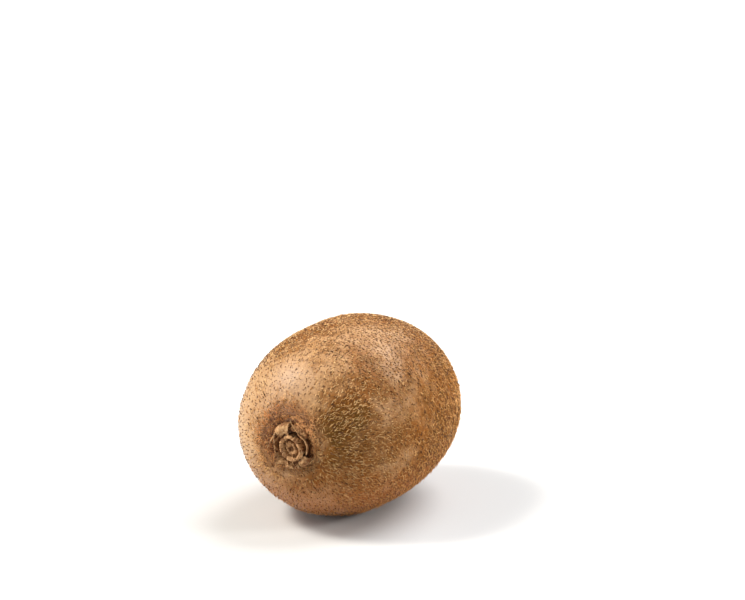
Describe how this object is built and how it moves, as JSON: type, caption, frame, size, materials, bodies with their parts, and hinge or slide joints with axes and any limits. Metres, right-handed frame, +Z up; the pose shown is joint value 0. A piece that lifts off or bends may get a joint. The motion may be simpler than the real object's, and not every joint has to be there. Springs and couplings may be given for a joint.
{
  "type": "kiwi fruit",
  "caption": "Whole ripe kiwi fruit lying on its side, with its woody stem scar, dried sepals round it, and the star of dried styles at the other end.",
  "frame": {"origin": "on the surface the fruit rests on, under the middle of its box", "axes": "+Z up, Y along the fruit's long axis, with the stem end at -Y and the blossom end at +Y, X across"},
  "size_m": [0.0522, 0.0706, 0.0495],
  "materials": {
    "skin": "matte",
    "woody_button": "matte",
    "dry_sepal": "matte",
    "dried_style": "matte"
  },
  "bodies": {
    "root": {"fruit_body": "skin", "stem_button": "woody_button", "dry_sepals": "dry_sepal", "dried_styles": "dried_style"}
  },
  "joints": []
}
